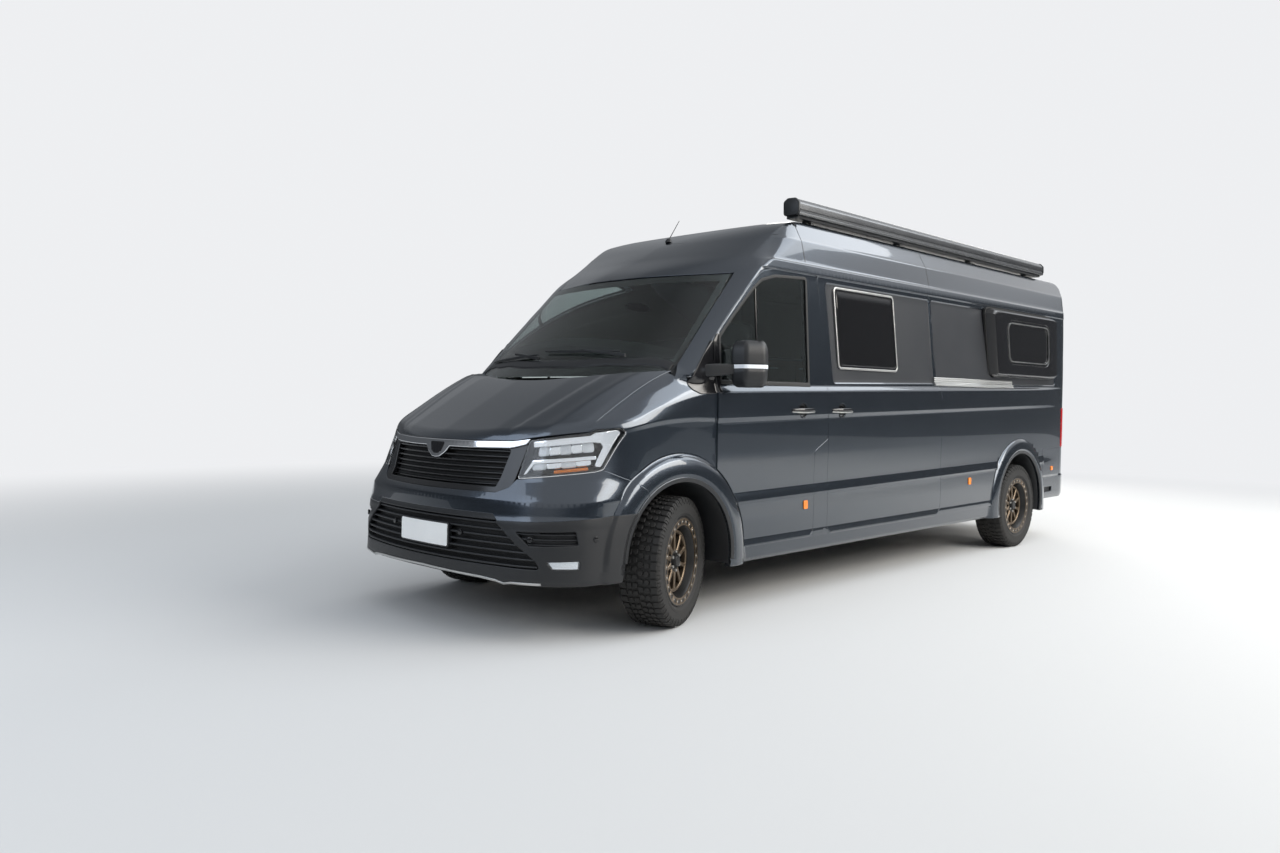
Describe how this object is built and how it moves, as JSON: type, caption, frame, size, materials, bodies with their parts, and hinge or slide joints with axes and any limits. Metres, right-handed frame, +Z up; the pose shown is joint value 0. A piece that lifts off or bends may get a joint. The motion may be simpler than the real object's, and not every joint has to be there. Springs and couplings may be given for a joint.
{
  "type": "camper van",
  "caption": "Long high-roof camper van on an upright panel van body, with hinged cab and rear doors, bonnet, sleeping pods, side awning and steered, rolling wheels.",
  "frame": {"origin": "on the ground, under the middle of the van's length and width", "axes": "+X forward, +Y to the van's left, +Z up"},
  "size_m": [6.836, 2.4248, 2.6032],
  "materials": {
    "paint": "dark grey metallic, gloss",
    "black_trim": "grained black plastic",
    "gloss_black": "gloss black",
    "cab_glass": "lightly tinted, clear",
    "window_glass": "dark tinted acrylic",
    "lamp_lens": "clear lens",
    "red_lens": "red lens",
    "awning_case": "black anodised, satin",
    "underbody": "black coated steel",
    "cast_iron": "rough",
    "steel_pipe": "dull",
    "cab_plastic": "grained, dark",
    "seat_cloth": "woven, dark grey",
    "mattress_cloth": "pale quilted",
    "furniture": "satin",
    "tyre": "matt rubber",
    "rim": "satin black alloy"
  },
  "bodies": {
    "root": {"floor": "underbody", "chassis_frame": "underbody", "wheel_housings_front": "underbody", "wheel_housings_rear": "underbody", "side_left": "paint", "side_right": "paint", "roof_rear": "paint", "roof": "paint", "roof_front": "paint", "windscreen": "cab_glass", "wing_left": "paint", "wing_right": "paint", "front_frame": "underbody", "bumper_cover": "paint", "bumper_lower": "black_trim", "grille": "gloss_black", "headlamps": "lamp_lens", "sliding_door": "paint", "side_pods": "black_trim", "camper_windows": "window_glass", "bumper_rear": "paint", "tail_lamps": "red_lens", "awning": "awning_case", "dashboard": "cab_plastic", "steering_wheel": "cab_plastic", "seat_pedestals": "cab_plastic", "seat_cushions": "seat_cloth", "furniture": "furniture", "mattress": "mattress_cloth", "engine": "cast_iron", "front_subframe": "underbody", "rear_axle": "underbody", "fuel_tank": "underbody", "exhaust": "steel_pipe"},
    "bonnet": {"bonnet": "paint"},
    "cab_door_left": {"cab_door_left": "paint", "cab_glass_left": "cab_glass", "mirror_left": "black_trim"},
    "cab_door_right": {"cab_door_right": "paint", "cab_glass_right": "cab_glass", "mirror_right": "black_trim"},
    "rear_door_left": {"rear_door_left": "paint"},
    "rear_door_right": {"rear_door_right": "paint"},
    "knuckle_left": {"knuckle_left": "underbody"},
    "knuckle_right": {"knuckle_right": "underbody"},
    "wheel_front_left": {"tyre_front_left": "tyre", "rim_front_left": "rim"},
    "wheel_front_right": {"tyre_front_right": "tyre", "rim_front_right": "rim"},
    "wheel_rear_left": {"tyre_rear_left": "tyre", "rim_rear_left": "rim"},
    "wheel_rear_right": {"tyre_rear_right": "tyre", "rim_rear_right": "rim"}
  },
  "joints": [
    {"name": "bonnet_hinge", "type": "hinge", "parent": "root", "child": "bonnet", "pos_m": [2.4, 0, 1.462], "axis": [0, -1, 0], "range_deg": [0, 55]},
    {"name": "cab_door_left_hinge", "type": "hinge", "parent": "root", "child": "cab_door_left", "pos_m": [2.084, 1.015, 1.2], "axis": [0, 0, -1], "range_deg": [0, 70]},
    {"name": "cab_door_right_hinge", "type": "hinge", "parent": "root", "child": "cab_door_right", "pos_m": [2.084, -1.015, 1.2], "axis": [0, 0, 1], "range_deg": [0, 70]},
    {"name": "rear_door_left_hinge", "type": "hinge", "parent": "root", "child": "rear_door_left", "pos_m": [-3.362, 0.806, 1.4], "axis": [0, 0, -1], "range_deg": [0, 180]},
    {"name": "rear_door_right_hinge", "type": "hinge", "parent": "root", "child": "rear_door_right", "pos_m": [-3.362, -0.806, 1.4], "axis": [0, 0, 1], "range_deg": [0, 180]},
    {"name": "steer_left", "type": "hinge", "parent": "root", "child": "knuckle_left", "pos_m": [2.417, 0.87, 0.365], "axis": [0, 0, 1], "range_deg": [-53, 17]},
    {"name": "steer_right", "type": "hinge", "parent": "root", "child": "knuckle_right", "pos_m": [2.417, -0.87, 0.365], "axis": [0, 0, 1], "range_deg": [-50, 18]},
    {"name": "wheel_front_left_spin", "type": "hinge", "parent": "knuckle_left", "child": "wheel_front_left", "pos_m": [2.41187, 0.88409, 0.365], "axis": [-0.342, 0.9397, 0], "continuous": true},
    {"name": "wheel_front_right_spin", "type": "hinge", "parent": "knuckle_right", "child": "wheel_front_right", "pos_m": [2.42164, -0.88427, 0.365], "axis": [-0.309, 0.9511, 0], "continuous": true},
    {"name": "wheel_rear_left_spin", "type": "hinge", "parent": "root", "child": "wheel_rear_left", "pos_m": [-2.073, 0.885, 0.365], "axis": [0, 1, 0], "continuous": true},
    {"name": "wheel_rear_right_spin", "type": "hinge", "parent": "root", "child": "wheel_rear_right", "pos_m": [-2.073, -0.885, 0.365], "axis": [0, 1, 0], "continuous": true}
  ],
  "couplings": [
    {"joint": "steer_right", "follows": "steer_left", "ratio": 0.9}
  ]
}
